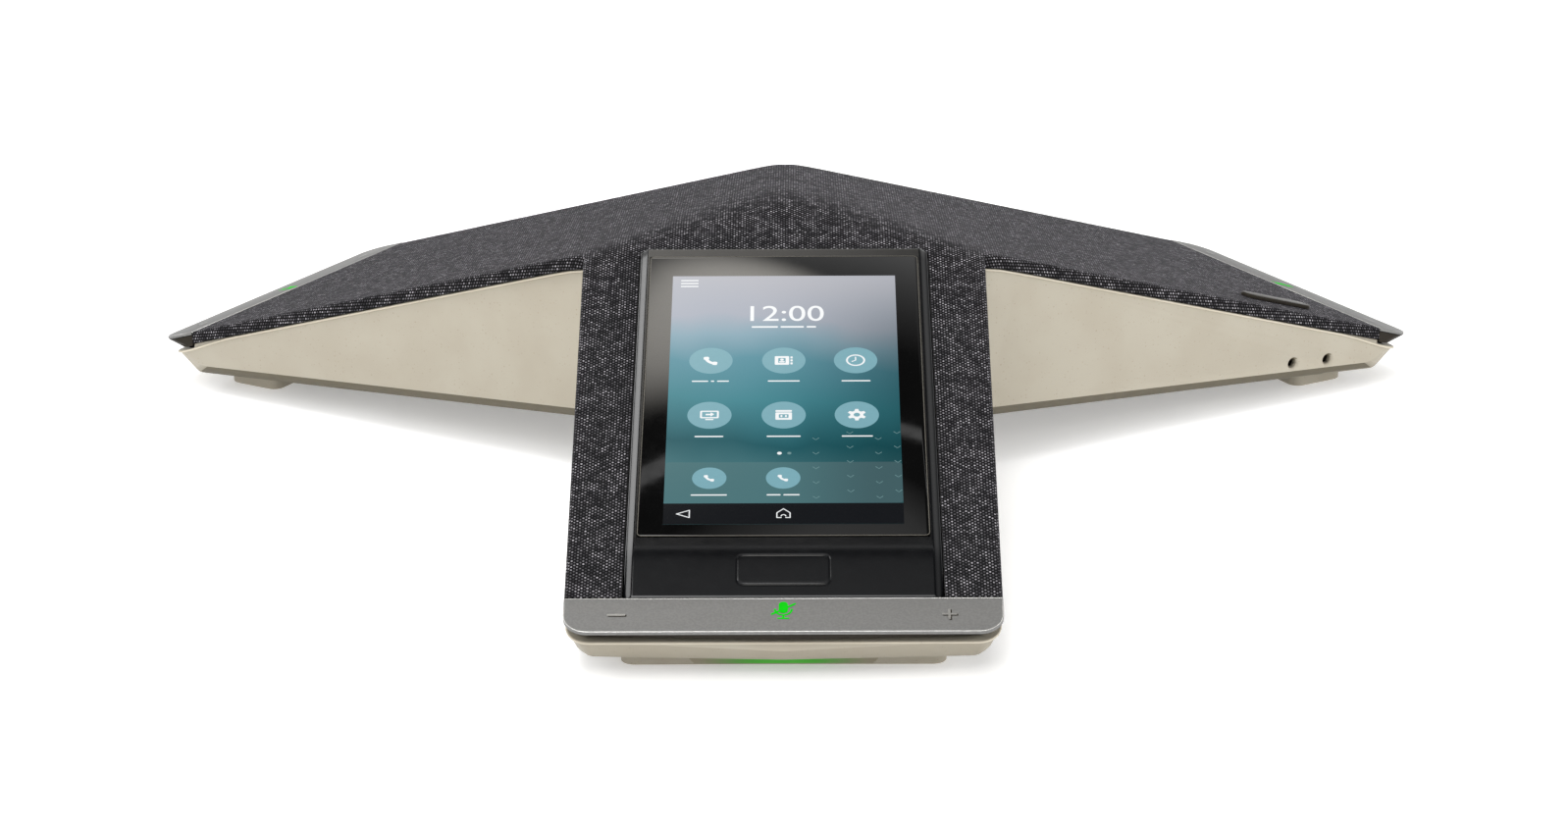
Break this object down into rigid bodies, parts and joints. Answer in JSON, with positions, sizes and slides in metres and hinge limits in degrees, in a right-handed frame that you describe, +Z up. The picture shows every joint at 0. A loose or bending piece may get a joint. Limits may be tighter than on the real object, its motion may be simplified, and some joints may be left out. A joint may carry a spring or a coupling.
{
  "type": "conference phone",
  "caption": "Three-armed tabletop conference phone with a fabric roof, touch strips at the arm tips, a sloping colour display and a central loudspeaker.",
  "frame": {"origin": "on the table, under the middle of the footprint", "axes": "+Z up, +X across the two rear arms, -Y toward the tip of the front arm that carries the display"},
  "size_m": [0.3808, 0.3314, 0.074],
  "materials": {
    "stone_plastic": "fine texture, warm beige with brown speckles",
    "charcoal_fabric": "coarse knit, charcoal with light grey flecks",
    "black_plastic": "matt moulded",
    "satin_metal": "satin metallic grey",
    "gloss_black": "gloss black",
    "dark_grey_plastic": "smooth satin, dark grey",
    "display_glass": "polished black glass border",
    "display_panel": "lit colour display",
    "green_light": "lit green light guide",
    "circuit_board": "green solder mask",
    "tinned_steel": "tinned",
    "aluminium": "plain",
    "ferrite_magnet": "dull grey",
    "cone_paper": "pressed paper pulp",
    "black_rubber": "matt",
    "copper_wire": "enamelled wire",
    "amber_film": "translucent amber film"
  },
  "bodies": {
    "root": {"antenna_left": "circuit_board", "antenna_right": "circuit_board", "badge": "satin_metal", "base_shell": "stone_plastic", "chin_pad": "dark_grey_plastic", "cover_glass": "display_glass", "display_housing": "dark_grey_plastic", "display_ribbon": "amber_film", "display_tray": "aluminium", "ethernet_jack": "tinned_steel", "fabric_cover": "charcoal_fabric", "foot_front": "stone_plastic", "foot_left": "stone_plastic", "foot_light_front": "green_light", "foot_light_left": "green_light", "foot_light_right": "green_light", "foot_right": "stone_plastic", "heat_spreader": "aluminium", "jack_board": "circuit_board", "lcd_panel": "display_panel", "main_board": "circuit_board", "mic_jack_1": "gloss_black", "mic_jack_2": "gloss_black", "microphone_front": "aluminium", "microphone_left": "aluminium", "microphone_right": "aluminium", "mute_lens_front": "green_light", "mute_lens_left": "green_light", "mute_lens_right": "green_light", "power_module": "ferrite_magnet", "processor_shield": "tinned_steel", "rear_board": "circuit_board", "shell_screw_front_1": "tinned_steel", "shell_screw_front_2": "tinned_steel", "shell_screw_left_1": "tinned_steel", "shell_screw_left_2": "tinned_steel", "shell_screw_right_1": "tinned_steel", "shell_screw_right_2": "tinned_steel", "speaker_basket": "tinned_steel", "speaker_enclosure": "black_plastic", "speaker_magnet": "ferrite_magnet", "speaker_spider": "amber_film", "speaker_surround": "black_rubber", "strip_carrier_front": "gloss_black", "strip_carrier_left": "gloss_black", "strip_carrier_right": "gloss_black", "strip_plate_front": "satin_metal", "strip_plate_left": "satin_metal", "strip_plate_right": "satin_metal", "top_frame": "black_plastic", "touch_board_front": "circuit_board", "touch_board_left": "circuit_board", "touch_board_right": "circuit_board", "usb_a_port": "tinned_steel", "usb_c_port": "tinned_steel"},
    "cone": {"speaker_cone": "cone_paper", "voice_coil": "copper_wire"}
  },
  "joints": [
    {"name": "cone_travel", "type": "slide", "parent": "root", "child": "cone", "axis": [0, 0, 1], "range_m": [-0.0015, 0.0015], "stiffness_N_per_m": 900, "deforming": ["speaker_surround", "speaker_spider"]}
  ]
}
